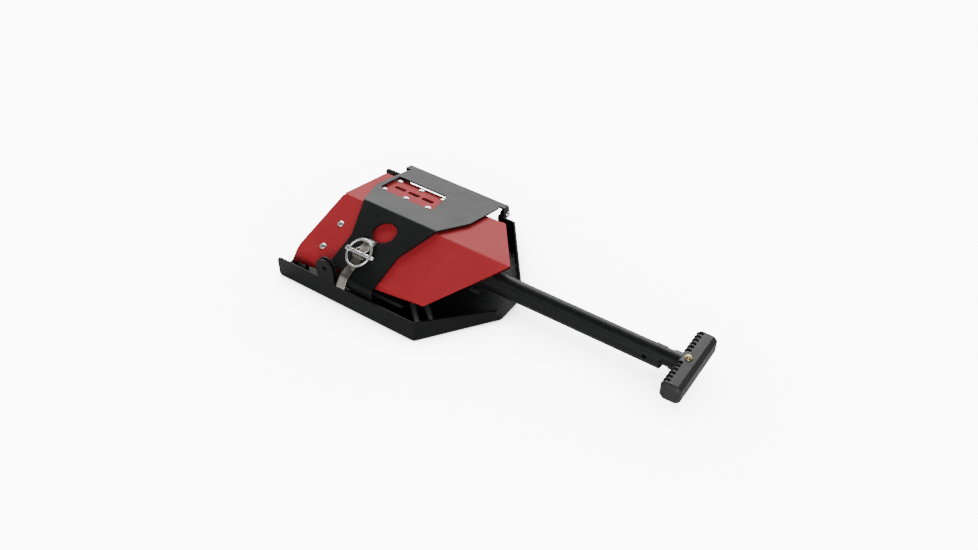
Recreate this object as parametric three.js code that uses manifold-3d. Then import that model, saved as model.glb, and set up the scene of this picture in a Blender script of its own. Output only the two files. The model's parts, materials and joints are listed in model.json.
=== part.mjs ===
// A compact telescoping shovel locked in a steel vehicle mount.
// Millimetres, +Z up. X runs along the shaft towards the T-handle, Y across the tray.
// The origin is on the tray's underside, midway along the tray and under the shaft's axis.

import * as THREE from 'three';
import { mergeVertices } from 'three/addons/utils/BufferGeometryUtils.js';
import Module from 'manifold-3d';

const wasm = await Module();
wasm.setup();

// ---------------------------------------------------------------- driving dimensions

const GAP = 0.3; // clearance between touching pieces

// Tray: a folded steel plate, six-sided in plan, open at both ends
const SHEET = 3;
const TRAY_END_X = 170;
const TRAY_CORNER_X = 88.5;
const TRAY_HALF_WIDTH = 136.5;
const TRAY_MOUTH_HALF = 29;
const FLANGE_HEIGHT = 37.5;
const FLANGE_LOW = 20;
const REAR_LIP_HEIGHT = 15;
const HASP_X = -72;
const HASP_Z = 62;
const HASP_RADIUS = 16.3;
const HASP_HOLE = 4;

// Blade: a folded aluminium sheet, stored ridge-up
const BLADE_SHEET = 3;
const BLADE_RIDGE_Z = 83.7;
const BLADE_SLOPE = 0.2876; // fall of each panel per unit of width
const BLADE_HALF_WIDTH = 109.5;
const BLADE_RIDGE_END_X = -143;
const BLADE_CREASE_END_X = -147.5;
const BLADE_SHOULDER_X = 88;
const BLADE_TIP_X = 167;
const SKIRT_END_X = -167;
const SKIRT_END_Z = 12;
const BLADE_EDGE_Z = BLADE_RIDGE_Z - BLADE_SLOPE * BLADE_HALF_WIDTH;

// Rivets that join the blade to the stiffener under it
const RIVET_COLUMNS = [-111.5, -68, -25];
const FRONT_INNER_ROW = -49.5;
const RIVET_ROWS = [-94, FRONT_INNER_ROW, 59, 100];
const RIVET_SHANK = 2.4;
const RIVET_HEAD = 5.2;

// Shaft: an outer tube fixed to the blade and an inner tube that slides out of it
const SHAFT_Z = 46.7;
const OUTER_RADIUS = 16;
const OUTER_BORE = 14;
const OUTER_START_X = -112;
const OUTER_END_X = 419.2;
const INNER_RADIUS = 12.7;
const INNER_BORE = 11.1;
const INNER_START_X = -95;
const INNER_END_X = 464;
const BUTTON_X = -75;
const BUTTON_RADIUS = 3;
const SHAFT_TRAVEL = 472;
const SOCKET_SCREW_X = [-95, -40];

// T-handle
const HANDLE_X = 456.25;
const HANDLE_WIDTH = 31;
const HANDLE_HEIGHT = 32.5;
const HANDLE_HALF_LENGTH = 60;
const HANDLE_CHAMFER = 5.8;
const NOTCH_COUNT = 6;
const NOTCH_PITCH = 7.6;
const NOTCH_START = 13;
const NOTCH_HALF = 2.3;
const NOTCH_DEPTH = 11.2;
const HANDLE_SCREW_X = 454;

// Cover: a folded plate that lies over the blade and hinges on the tray's rear flange
const COVER_RISE = 6; // height of its top face over the blade
const COVER_RIDGE_Z = BLADE_RIDGE_Z + COVER_RISE;
const COVER_REAR_Y = 158;
const COVER_FRONT_Y = -130;
const COVER_FOOT_Z = 14;
const COVER_LIP_Z = 44;
const COVER_LEFT_X = -133.3;
const COVER_PLAN_RADIUS = 14;
const COVER_RIGHT_X = 63.3;
const COVER_BEND = 8;
const HINGE_Y = 151;
const HINGE_Z = 31;
const BOLT_RADIUS = 2.9;

// Draw latch on the cover's front face
const LATCH_X = -42;
const LATCH_Y = -58;
const TILT = Math.atan(BLADE_SLOPE);
const LATCH_HALF = 9;
const LEVER_AXLE = { u: 6, n: 5.2 };
const CLAW_AXLE = { u: 35, n: 5.2 };
const PIN_PLACE = { u: 31.5, n: 11 };
const AXLE_RADIUS = 1.6;
const PIN_RADIUS = 3;
const PIN_HEAD_X = -19;
const PIN_TIP_X = 27.5;
const PIN_HEAD_RADIUS = 5.2;
const RING_RADIUS = 21.7;
const RING_WIRE = 1.75;
const RING_TILT = THREE.MathUtils.degToRad(9.3);
const RING_LEAN = THREE.MathUtils.degToRad(16);

// ---------------------------------------------------------------- finishes

function finish(color, roughness, metalness) {
  return new THREE.MeshStandardMaterial({ color, roughness, metalness });
}
const BLACK_COAT = finish('#17181a', 0.5, 0.2);
const BLACK_TUBE = finish('#1b1c1f', 0.42, 0.4);
const RED_COAT = finish('#a3161c', 0.45, 0.2);
const BLACK_PLASTIC = finish('#26272a', 0.6, 0);
const RUBBER = finish('#121213', 0.85, 0);
const STEEL = finish('#b9b6ab', 0.35, 1);
const ZINC = finish('#d5d6d4', 0.28, 1);
const BRASS = finish('#b4945a', 0.35, 1);
const RAW_ALUMINIUM = finish('#9a9c9e', 0.45, 1);

// ---------------------------------------------------------------- solids

// Any closed three.js geometry as a manifold-3d solid
function solid(geometry) {
  const bare = geometry.clone();
  bare.deleteAttribute('normal');
  bare.deleteAttribute('uv');
  const welded = mergeVertices(bare, 1e-4);
  const triVerts = [];
  const index = welded.index.array;
  for (let i = 0; i < index.length; i += 3) {
    const [a, b, c] = [index[i], index[i + 1], index[i + 2]];
    if (a !== b && b !== c && c !== a) triVerts.push(a, b, c);
  }
  const vertProperties = new Float32Array(welded.attributes.position.array);
  const mesh = new wasm.Mesh({ numProp: 3, vertProperties, triVerts: new Uint32Array(triVerts) });
  return new wasm.Manifold(mesh);
}

// A manifold-3d solid back as a three.js geometry
function geometryOf(body) {
  const mesh = body.getMesh();
  const geometry = new THREE.BufferGeometry();
  geometry.setAttribute('position', new THREE.BufferAttribute(new Float32Array(mesh.vertProperties), 3));
  geometry.setIndex(new THREE.BufferAttribute(new Uint32Array(mesh.triVerts), 1));
  geometry.computeVertexNormals();
  return geometry;
}

const join = (...bodies) => bodies.reduce((sum, body) => sum.add(body));
const cut = (body, ...tools) => tools.reduce((rest, tool) => rest.subtract(tool), body);

function box(x0, x1, y0, y1, z0, z1) {
  const geometry = new THREE.BoxGeometry(x1 - x0, y1 - y0, z1 - z0);
  geometry.translate((x0 + x1) / 2, (y0 + y1) / 2, (z0 + z1) / 2);
  return solid(geometry);
}

const outline = (points) => new THREE.Shape(points.map(([a, b]) => new THREE.Vector2(a, b)));

function prism(shape, depth, curveSegments = 5) {
  return new THREE.ExtrudeGeometry(shape, { depth, bevelEnabled: false, curveSegments });
}

// A plan shape in X, Y from z0 up to z1
function extrudeZ(shape, z0, z1) {
  const geometry = prism(shape, z1 - z0);
  geometry.translate(0, 0, z0);
  return solid(geometry);
}

// A section in Y, Z from x0 to x1
function extrudeX(shape, x0, x1) {
  const geometry = prism(shape, x1 - x0);
  const turn = new THREE.Matrix4().set(0, 0, 1, x0, 1, 0, 0, 0, 0, 1, 0, 0, 0, 0, 0, 1);
  geometry.applyMatrix4(turn);
  return solid(geometry);
}

// A side view in X, Z from y0 to y1
function extrudeY(shape, y0, y1) {
  const geometry = prism(shape, y1 - y0);
  const turn = new THREE.Matrix4().set(1, 0, 0, 0, 0, 0, -1, y1, 0, 1, 0, 0, 0, 0, 0, 1);
  geometry.applyMatrix4(turn);
  return solid(geometry);
}

// A solid of revolution: the profile holds [radius, height] pairs, and height runs along the axis
function turned(profile, segments, axis, place) {
  const geometry = new THREE.LatheGeometry(profile.map(([r, h]) => new THREE.Vector2(r, h)), segments);
  const direction = axis.clone().normalize();
  const turn = new THREE.Quaternion().setFromUnitVectors(new THREE.Vector3(0, 1, 0), direction);
  geometry.applyQuaternion(turn);
  geometry.translate(place.x, place.y, place.z);
  return solid(geometry);
}

const X_AXIS = new THREE.Vector3(1, 0, 0);
const Y_AXIS = new THREE.Vector3(0, 1, 0);
const Z_AXIS = new THREE.Vector3(0, 0, 1);
const point = (x, y, z) => new THREE.Vector3(x, y, z);

function rod(radius, start, axis, length, segments = 16) {
  return turned([[0, 0], [radius, 0], [radius, length], [0, length]], segments, axis, start);
}

function tube(radius, bore, start, axis, length, segments = 32) {
  const profile = [[bore, 0], [radius, 0], [radius, length], [bore, length], [bore, 0]];
  return turned(profile, segments, axis, start);
}

// Replaces the inner corners of a path by arcs of the given radius
function roundBends(path, radius, steps = 4) {
  const result = [path[0]];
  for (let i = 1; i < path.length - 1; i += 1) {
    const corner = new THREE.Vector2(...path[i]);
    const back = new THREE.Vector2(...path[i - 1]).sub(corner).normalize();
    const on = new THREE.Vector2(...path[i + 1]).sub(corner).normalize();
    const half = Math.acos(THREE.MathUtils.clamp(back.dot(on), -1, 1)) / 2;
    const reach = radius / Math.tan(half);
    const middle = back.clone().add(on).normalize().multiplyScalar(radius / Math.sin(half)).add(corner);
    const from = back.clone().multiplyScalar(reach).add(corner).sub(middle);
    const to = on.clone().multiplyScalar(reach).add(corner).sub(middle);
    const sweep = Math.atan2(from.cross(to), from.dot(to));
    for (let k = 0; k <= steps; k += 1) {
      const spoke = from.clone().rotateAround(new THREE.Vector2(), (sweep * k) / steps);
      result.push([middle.x + spoke.x, middle.y + spoke.y]);
    }
  }
  result.push(path[path.length - 1]);
  return result;
}

// The closed section of a sheet whose one face follows the path; the sheet lies to the path's left
function sheetSection(path, thickness) {
  const points = path.map(([a, b]) => new THREE.Vector2(a, b));
  const leftOf = (a, b) => new THREE.Vector2(a.y - b.y, b.x - a.x).normalize();
  const offset = points.map((here, i) => {
    const before = i > 0 ? leftOf(points[i - 1], here) : leftOf(here, points[i + 1]);
    const after = i < points.length - 1 ? leftOf(here, points[i + 1]) : before;
    const mitre = before.clone().add(after).normalize();
    return mitre.multiplyScalar(thickness / mitre.dot(before)).add(here);
  });
  return new THREE.Shape([...points, ...offset.reverse()]);
}

// A slot with round ends between two points, as a plan shape
function slotShape(ax, ay, bx, by, width) {
  const angle = Math.atan2(by - ay, bx - ax);
  const shape = new THREE.Shape();
  shape.absarc(bx, by, width / 2, angle - Math.PI / 2, angle + Math.PI / 2);
  shape.absarc(ax, ay, width / 2, angle + Math.PI / 2, angle + (3 * Math.PI) / 2);
  return shape;
}

const model = new THREE.Group();
const latch = new THREE.Group();

function add(name, body, material, group = model) {
  const mesh = new THREE.Mesh(geometryOf(body), material);
  mesh.name = name;
  group.add(mesh);
}

// ---------------------------------------------------------------- tray

// A padlock tab in the X, Z plane: straight sides from footZ and a round top
function haspShape(footZ) {
  const shape = new THREE.Shape();
  shape.moveTo(HASP_X - HASP_RADIUS, footZ);
  shape.lineTo(HASP_X + HASP_RADIUS, footZ);
  shape.absarc(HASP_X, HASP_Z, HASP_RADIUS, 0, Math.PI);
  return shape;
}

function haspHole() {
  return rod(HASP_HOLE, point(HASP_X, COVER_FRONT_Y + 10, HASP_Z), Y_AXIS.clone().negate(), 30);
}


// The tray's plan, drawn inwards by a margin on its four flanged sides and longer at its open ends
function trayPlan(margin, overrun) {
  const run = point(TRAY_END_X - TRAY_CORNER_X, TRAY_HALF_WIDTH - TRAY_MOUTH_HALF, 0);
  const slope = run.y / run.x;
  const y = TRAY_HALF_WIDTH - margin;
  const shift = (margin * run.length()) / run.x;
  const cornerX = TRAY_CORNER_X + (shift - margin) / -slope;
  const endX = TRAY_END_X + overrun;
  const mouth = y - slope * (endX - cornerX);
  const left = -TRAY_END_X - overrun;
  return outline([[left, -y], [cornerX, -y], [endX, -mouth], [endX, mouth], [cornerX, y], [left, y]]);
}

function traySlots() {
  const slots = [];
  for (const side of [-1, 1]) {
    slots.push(slotShape(41, side * 76, 70, side * 102, 8));
    slots.push(slotShape(60, side * 66, 86, side * 88, 8));
    slots.push(slotShape(-32, side * 90, 30, side * 90, 8));
    slots.push(slotShape(-136, side * 90, -96, side * 90, 8));
  }
  slots.push(slotShape(98, 0, 112, 0, 8));
  return slots.map((shape) => extrudeZ(shape, -1, SHEET + 1));
}

// Hinge tabs of the tray stand behind its rear flange, one at each side of the cover
function trayHingeTab(x0) {
  const shape = new THREE.Shape();
  const inside = TRAY_HALF_WIDTH - SHEET / 2;
  shape.moveTo(inside, 8);
  shape.lineTo(inside, FLANGE_HEIGHT);
  shape.lineTo(TRAY_HALF_WIDTH + 2, FLANGE_HEIGHT);
  shape.absarc(HINGE_Y, HINGE_Z, 9.4, THREE.MathUtils.degToRad(125), THREE.MathUtils.degToRad(-80), true);
  return extrudeX(shape, x0, x0 + SHEET);
}

const TRAY_TAB_RIGHT_X = COVER_RIGHT_X - 2 * SHEET - GAP;
const TRAY_TAB_LEFT_X = COVER_LEFT_X + SHEET + GAP;

function makeTray() {
  const shell = cut(
    extrudeZ(trayPlan(0, 0), 0, FLANGE_HEIGHT),
    extrudeZ(trayPlan(SHEET, 10), SHEET, FLANGE_HEIGHT + 1),
  );
  const above = 60;
  const fall = (FLANGE_HEIGHT - FLANGE_LOW) / (TRAY_END_X - TRAY_CORNER_X);
  const farX = TRAY_END_X + 5;
  const taper = outline([
    [TRAY_CORNER_X, FLANGE_HEIGHT], [farX, FLANGE_HEIGHT - fall * (farX - TRAY_CORNER_X)],
    [farX, above], [TRAY_CORNER_X, above],
  ]);
  const endRelief = outline([
    [TRAY_END_X - 7, above], [TRAY_END_X - 3, SHEET + 1.5], [farX, SHEET + 1.5], [farX, above],
  ]);
  const width = TRAY_HALF_WIDTH + 5;
  const rearOpening = box(
    TRAY_TAB_LEFT_X + SHEET, TRAY_TAB_RIGHT_X,
    TRAY_HALF_WIDTH - 10, width, REAR_LIP_HEIGHT, above,
  );
  const corner = 7;
  const cornerCut = outline([
    [-TRAY_END_X - 1, FLANGE_HEIGHT - corner], [-TRAY_END_X, FLANGE_HEIGHT - corner],
    [-TRAY_END_X + 2, FLANGE_HEIGHT - 2], [-TRAY_END_X + corner, FLANGE_HEIGHT],
    [-TRAY_END_X + corner, FLANGE_HEIGHT + 1], [-TRAY_END_X - 1, FLANGE_HEIGHT + 1],
  ]);
  const trimmed = cut(
    shell, extrudeY(taper, -width, width), extrudeY(endRelief, -width, width),
    rearOpening, extrudeY(cornerCut, -width, width), ...traySlots(),
  );
  const tabs = join(trayHingeTab(TRAY_TAB_RIGHT_X), trayHingeTab(TRAY_TAB_LEFT_X));
  const boltHole = rod(BOLT_RADIUS + GAP, point(-140, HINGE_Y, HINGE_Z), X_AXIS, 220);
  return cut(join(trimmed, tabs), boltHole);
}

add('tray', makeTray(), BLACK_COAT);

// Two drilled padlock tabs stand face to face: one on the tray's front flange, one on the cover's front lip
function makePadlockTab(footZ, outerY) {
  return cut(extrudeY(haspShape(footZ + GAP), outerY, outerY + SHEET), haspHole());
}

add('tray_padlock_tab', makePadlockTab(FLANGE_HEIGHT, -TRAY_HALF_WIDTH), BLACK_COAT);
add('cover_padlock_tab', makePadlockTab(COVER_LIP_Z, COVER_FRONT_Y), BLACK_COAT);

// Rubber rests inside the tray: a saddle under the shaft and a pad under each front corner of the blade
function makeShaftRest() {
  const body = box(62, 84, -21, 21, SHEET + GAP, SHAFT_Z - 4);
  return cut(body, rod(OUTER_RADIUS + GAP, point(50, 0, SHAFT_Z), X_AXIS, 50, 32));
}

add('shaft_rest', makeShaftRest(), RUBBER);
for (const [name, side] of [['blade_rest_front', -1], ['blade_rest_rear', 1]]) {
  const y = side * (BLADE_HALF_WIDTH - BLADE_SHEET / 2);
  add(name, box(SKIRT_END_X - 1, -140, y - 7, y + 7, SHEET + GAP, SKIRT_END_Z - GAP), RUBBER);
}

// The keeper is a stainless clip on the inner face of the front flange, under the claw
const keeperY = -TRAY_HALF_WIDTH + SHEET + GAP;
const keeperTop = FLANGE_HEIGHT + 2.5;
const keeper = box(LATCH_X - 13.5, LATCH_X + 13.5, keeperY, keeperY + 1.5, 24, keeperTop);
add('latch_keeper', keeper, STEEL);

// ---------------------------------------------------------------- blade

const bladeTop = (y) => BLADE_RIDGE_Z - BLADE_SLOPE * Math.abs(y);
const BLADE_FALL = BLADE_SHEET / Math.cos(TILT); // the sheet's thickness measured along Z

const bladePlan = () => outline([
  [BLADE_RIDGE_END_X, 0], [BLADE_CREASE_END_X, -BLADE_HALF_WIDTH], [BLADE_SHOULDER_X, -BLADE_HALF_WIDTH],
  [BLADE_TIP_X, 0], [BLADE_SHOULDER_X, BLADE_HALF_WIDTH], [BLADE_CREASE_END_X, BLADE_HALF_WIDTH],
]);

// The axis of a rivet through the panel at this place, pointing up out of the blade
const panelNormal = (y) => point(0, Math.sign(y) * BLADE_SLOPE, 1).normalize();

// The front panel has no rivet at the end of its inner row, under the cover's round window
function rivetPlaces() {
  const places = [];
  const lastColumn = RIVET_COLUMNS[RIVET_COLUMNS.length - 1];
  for (const y of RIVET_ROWS) {
    for (const x of RIVET_COLUMNS) {
      if (x !== lastColumn || y !== FRONT_INNER_ROW) places.push(point(x, y, bladeTop(y)));
    }
  }
  return places;
}

function rivetHoles() {
  return rivetPlaces().map((place) => {
    const axis = panelNormal(place.y);
    return rod(RIVET_SHANK + GAP, place.clone().addScaledVector(axis, -12), axis, 24, 10);
  });
}

function makeBlade() {
  const w = BLADE_HALF_WIDTH;
  const roof = outline([
    [-w, BLADE_EDGE_Z], [-w, BLADE_EDGE_Z - BLADE_FALL], [0, BLADE_RIDGE_Z - BLADE_FALL],
    [w, BLADE_EDGE_Z - BLADE_FALL], [w, BLADE_EDGE_Z], [0, BLADE_RIDGE_Z],
  ]);
  const roofRun = extrudeX(roof, BLADE_CREASE_END_X - 5, BLADE_TIP_X + 5);
  const panels = roofRun.intersect(extrudeZ(bladePlan(), 0, 100));
  const skirt = outline([
    [BLADE_CREASE_END_X, BLADE_EDGE_Z - 0.02], [SKIRT_END_X, SKIRT_END_Z], [SKIRT_END_X + 6, SKIRT_END_Z],
    [BLADE_SHOULDER_X, BLADE_EDGE_Z - 2.5], [BLADE_SHOULDER_X, BLADE_EDGE_Z - 0.02],
  ]);
  const front = extrudeY(skirt, -w, -w + BLADE_SHEET);
  const rear = extrudeY(skirt, w - BLADE_SHEET, w);
  const reliefs = [-w, 0, w].map((y) => {
    const endX = y === 0 ? BLADE_RIDGE_END_X : BLADE_CREASE_END_X;
    return rod(2.6, point(endX, y, BLADE_EDGE_Z - 6), Z_AXIS, 50, 10);
  });
  // three plain drain slots between the rivet rows
  const drains = [-95, -68, -41].map((x) => extrudeZ(slotShape(x - 7, 79.5, x + 7, 79.5, 8), 40, 90));
  return cut(join(panels, front, rear), ...reliefs, ...drains, ...rivetHoles());
}

add('blade', makeBlade(), RED_COAT);

// The stiffener lies under both panels and hangs a U that carries the outer tube
const STIFFENER_SHEET = 2;
const STIFFENER_X0 = -124;
const STIFFENER_X1 = -12;

function makeStiffener() {
  const top = (y) => bladeTop(y) - BLADE_FALL - GAP;
  const r = OUTER_RADIUS + GAP;
  const reach = 105.5;
  const path = [[reach, top(reach)], [r, top(r)]];
  const steps = 12;
  for (let i = 0; i <= steps; i += 1) {
    const angle = (-Math.PI * i) / steps;
    path.push([r * Math.cos(angle), SHAFT_Z + r * Math.sin(angle)]);
  }
  path.push([-r, top(r)], [-reach, top(reach)]);
  const body = extrudeX(sheetSection(path, STIFFENER_SHEET), STIFFENER_X0, STIFFENER_X1);
  const drains = extrudeZ(outline([[-104, 74], [-32, 74], [-32, 85], [-104, 85]]), 40, 90);
  return cut(body, drains, ...rivetHoles(), ...socketScrewHoles());
}

function socketScrewHoles() {
  return SOCKET_SCREW_X.map((x) => rod(2.8, point(x, 0, SHAFT_Z - 22), Z_AXIS, 12, 10));
}

add('blade_stiffener', makeStiffener(), RAW_ALUMINIUM);

// Domed solid rivet: head over the blade, shank, and a set tail under the stiffener
function makeRivet(place, segments) {
  const grip = BLADE_SHEET + STIFFENER_SHEET + 2 * GAP + 0.15;
  const profile = [
    [0, -grip - 1.5], [3.4, -grip - 1.5], [3.8, -grip], [RIVET_SHANK, -grip], [RIVET_SHANK, 0.1],
    [RIVET_HEAD, 0.1], [RIVET_HEAD * 0.86, 1.3], [RIVET_HEAD * 0.5, 2.1], [0, 2.4],
  ];
  return turned(profile, segments, panelNormal(place.y), place);
}

rivetPlaces().forEach((place, i) => {
  add(`blade_rivet_${i + 1}`, makeRivet(place, 12), ZINC);
});

// ---------------------------------------------------------------- shaft

function makeOuterTube() {
  const start = point(OUTER_START_X, 0, SHAFT_Z);
  const body = tube(OUTER_RADIUS, OUTER_BORE, start, X_AXIS, OUTER_END_X - OUTER_START_X);
  const latchHole = rod(
    BUTTON_RADIUS + GAP, point(BUTTON_X + SHAFT_TRAVEL, 0, SHAFT_Z), Y_AXIS.clone().negate(), 20, 12,
  );
  return cut(body, latchHole, ...socketScrewHoles());
}

add('outer_tube', makeOuterTube(), BLACK_TUBE);
const plugStart = point(OUTER_START_X, 0, SHAFT_Z);
add('outer_tube_plug', rod(OUTER_BORE - GAP, plugStart, X_AXIS, 8, 24), BLACK_PLASTIC);

SOCKET_SCREW_X.forEach((x, i) => {
  const top = SHAFT_Z - OUTER_BORE - 0.1;
  const seat = SHAFT_Z - OUTER_RADIUS - GAP - STIFFENER_SHEET - GAP;
  const profile = [[0, seat - 3], [4, seat - 3], [4.4, seat], [2.5, seat], [2.5, top], [0, top]];
  add(`socket_screw_${i + 1}`, turned(profile, 12, Z_AXIS, point(x, 0, 0)), ZINC);
});

const guideLength = 16;
const guideStart = point(OUTER_END_X - guideLength, 0, SHAFT_Z);
const guide = tube(OUTER_BORE - GAP, INNER_RADIUS + GAP, guideStart, X_AXIS, guideLength, 24);
add('guide_bush', guide, BLACK_PLASTIC);

function makeInnerTube() {
  const start = point(INNER_START_X, 0, SHAFT_Z);
  const body = tube(INNER_RADIUS, INNER_BORE, start, X_AXIS, INNER_END_X - INNER_START_X);
  const buttonHole = rod(BUTTON_RADIUS + GAP, point(BUTTON_X, 0, SHAFT_Z), Y_AXIS.clone().negate(), 20, 12);
  const screwHole = rod(2.8, point(HANDLE_SCREW_X, 0, SHAFT_Z), Z_AXIS, 20, 12);
  return cut(body, buttonHole, screwHole);
}

add('inner_tube', makeInnerTube(), BLACK_TUBE);
add(
  'slide_bush',
  tube(OUTER_BORE - GAP, INNER_RADIUS + GAP, point(INNER_START_X, 0, SHAFT_Z), X_AXIS, 13, 24),
  BLACK_PLASTIC,
);

// The snap button rests pressed in by the outer tube's wall, and springs into its hole at full reach
function makeSnapButton() {
  const profile = [
    [0, 6], [4.2, 6], [4.2, 7.4], [BUTTON_RADIUS, 7.4], [BUTTON_RADIUS, 12.9], [2, 13.5], [0, 13.5],
  ];
  return turned(profile, 12, Y_AXIS.clone().negate(), point(BUTTON_X, 0, SHAFT_Z));
}

add('snap_button', makeSnapButton(), ZINC);

function makeButtonSpring() {
  const path = roundBends(
    [[BUTTON_X - 5, 3], [BUTTON_X + 26, 2], [BUTTON_X + 26, -4], [BUTTON_X - 6, -8]], 2.4, 3,
  );
  const section = sheetSection(path.map(([x, y]) => [x, -y]), 0.8);
  return extrudeZ(section, SHAFT_Z - 3, SHAFT_Z + 3);
}

add('button_spring', makeButtonSpring(), STEEL);

// ---------------------------------------------------------------- T-handle

function chamferedRect(a0, a1, b0, b1, c) {
  return outline([
    [a0 + c, b0], [a1 - c, b0], [a1, b0 + c], [a1, b1 - c],
    [a1 - c, b1], [a0 + c, b1], [a0, b1 - c], [a0, b0 + c],
  ]);
}

function makeHandle() {
  const x0 = HANDLE_X - HANDLE_WIDTH / 2;
  const x1 = HANDLE_X + HANDLE_WIDTH / 2;
  const z0 = SHAFT_Z - HANDLE_HEIGHT / 2;
  const z1 = SHAFT_Z + HANDLE_HEIGHT / 2;
  const length = HANDLE_HALF_LENGTH;
  const bar = extrudeY(chamferedRect(x0, x1, z0, z1, HANDLE_CHAMFER), -length, length);
  const plan = extrudeZ(chamferedRect(x0, x1, -length, length, 4), z0 - 1, z1 + 1);
  const side = extrudeX(chamferedRect(-length, length, z0, z1, 4), x0 - 1, x1 + 1);
  const neck = rod(14.6, point(431, 0, SHAFT_Z), X_AXIS, 14, 24);
  const bore = rod(INNER_RADIUS + GAP, point(430, 0, SHAFT_Z), X_AXIS, INNER_END_X - 430 + GAP, 32);
  const screwHole = rod(2.8, point(HANDLE_SCREW_X, 0, SHAFT_Z), Z_AXIS, 30, 12);
  const notches = [];
  for (const half of [-1, 1]) {
    for (let i = 0; i < NOTCH_COUNT; i += 1) {
      const y = half * (NOTCH_START + NOTCH_PITCH * i);
      const slot = slotShape(x0 - 5, y, x0 + NOTCH_DEPTH - NOTCH_HALF, y, NOTCH_HALF);
      notches.push(extrudeZ(slot, z0 - 1, z1 + 1));
    }
  }
  const body = join(bar.intersect(plan).intersect(side), neck);
  return cut(body, bore, screwHole, ...notches);
}

add('t_handle', makeHandle(), BLACK_PLASTIC);

const handleTop = SHAFT_Z + HANDLE_HEIGHT / 2;
const washerProfile = [[3.1, 0.3], [5.6, 0.3], [5.2, 1.3], [3.9, 1.7], [3.1, 1.2], [3.1, 0.3]];
const handleScrewPlace = point(HANDLE_SCREW_X, 0, handleTop);
add('handle_washer', turned(washerProfile, 20, Z_AXIS, handleScrewPlace), BRASS);
const screwProfile = [[0, -4], [2.5, -4], [2.5, 2], [3.4, 2], [3.1, 2.8], [0, 3.1]];
add('handle_screw', turned(screwProfile, 16, Z_AXIS, handleScrewPlace), BRASS);

// ---------------------------------------------------------------- cover

const coverTop = (y) => COVER_RIDGE_Z - BLADE_SLOPE * Math.abs(y);

// Plan of the cover: a narrow front leg that widens past the ridge to the full rear plate
function coverPlan() {
  const frontY = COVER_FRONT_Y - 5;
  const tabY = 142.5;
  const reliefY = 138.5;
  const right = roundBends(
    [[9.5, frontY], [9.5, -64], [34.5, -4.5], [56, 58], [56.4, 137.5]], COVER_PLAN_RADIUS, 5,
  );
  const left = roundBends(
    [[-124.5, 137.5], [-124.5, 57], [-80, -62], [-80, frontY]], COVER_PLAN_RADIUS, 5,
  );
  const rear = [
    [54, reliefY], [54, tabY], [COVER_RIGHT_X, tabY], [COVER_RIGHT_X, COVER_REAR_Y],
    [COVER_LEFT_X, COVER_REAR_Y], [COVER_LEFT_X, tabY], [-122, tabY], [-122, reliefY],
  ];
  return outline([...right, ...rear, ...left]);
}

function coverHingeTab(x0) {
  const shape = new THREE.Shape();
  const r = 8.3;
  shape.moveTo(HINGE_Y - r, coverTop(HINGE_Y - r) - 1);
  shape.lineTo(HINGE_Y - r, HINGE_Z);
  shape.absarc(HINGE_Y, HINGE_Z, r, Math.PI, 2 * Math.PI);
  shape.lineTo(COVER_REAR_Y, coverTop(COVER_REAR_Y) - 1);
  return extrudeX(shape, x0, x0 + SHEET);
}

function makeCover() {
  const path = roundBends(
    [
      [COVER_REAR_Y, coverTop(COVER_REAR_Y)], [0, COVER_RIDGE_Z],
      [COVER_FRONT_Y, coverTop(COVER_FRONT_Y)], [COVER_FRONT_Y, COVER_FOOT_Z],
    ],
    COVER_BEND,
  );
  const folded = extrudeX(sheetSection(path, SHEET), COVER_LEFT_X - 5, COVER_RIGHT_X + 5);
  const plate = folded.intersect(extrudeZ(coverPlan(), 0, 100));
  const window = extrudeZ(outline([
    [-103, 48.5], [-10, 48.5], [-20.5, 100.5], [-26.5, 107], [-118, 107], [-114.5, 55.5],
  ]), 40, 100);
  const roundWindow = rod(19, point(-35, -37, 60), Z_AXIS, 40, 32);
  const haspNotch = box(-95, HASP_X + HASP_RADIUS + 1.5, COVER_FRONT_Y - 5, -117.5, 10, 70);
  const leg = extrudeY(
    outline([
      [HASP_X - HASP_RADIUS, COVER_FOOT_Z], [-50, COVER_FOOT_Z],
      [-50, COVER_LIP_Z], [HASP_X - HASP_RADIUS, COVER_LIP_Z],
    ]),
    COVER_FRONT_Y, COVER_FRONT_Y + SHEET,
  );
  const tabs = join(coverHingeTab(COVER_RIGHT_X - SHEET), coverHingeTab(COVER_LEFT_X));
  const boltHole = rod(BOLT_RADIUS + GAP, point(-140, HINGE_Y, HINGE_Z), X_AXIS, 220);
  const opened = cut(plate, window, roundWindow, haspNotch);
  return cut(join(opened, leg, tabs), boltHole, ...latchRivetPlaces().map(latchRivetHole));
}

// Places on the cover's front face, in the latch's own frame: u down the slope, n out of the face
const slopeDown = point(0, -Math.cos(TILT), -Math.sin(TILT));
const slopeOut = point(0, -Math.sin(TILT), Math.cos(TILT));
const latchOrigin = point(LATCH_X, LATCH_Y, coverTop(LATCH_Y));
const latchPlace = (x, u, n) => latchOrigin.clone()
  .add(point(x, 0, 0)).addScaledVector(slopeDown, u).addScaledVector(slopeOut, n);
const latchRivetPlaces = () => [latchPlace(-4.6, 16, 0), latchPlace(4.6, 16, 0)];
const latchRivetHole = (place) => rod(1.9, place.clone().addScaledVector(slopeOut, -6), slopeOut, 12, 10);

add('cover', makeCover(), BLACK_COAT);

// Rubber strips bonded under the cover's ridge press on the blade's two panels
for (const [name, side] of [['cover_pad_front', -1], ['cover_pad_rear', 1]]) {
  const near = 16;
  const far = 44;
  const low = (y) => bladeTop(y) + GAP;
  const high = (y) => coverTop(y) - SHEET / Math.cos(TILT) - GAP;
  const section = outline([
    [side * near, low(near)], [side * far, low(far)], [side * far, high(far)], [side * near, high(near)],
  ]);
  const [x0, x1] = side < 0 ? [-84, -58] : [-96, 30];
  add(name, extrudeX(section, x0, x1), RUBBER);
}

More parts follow.
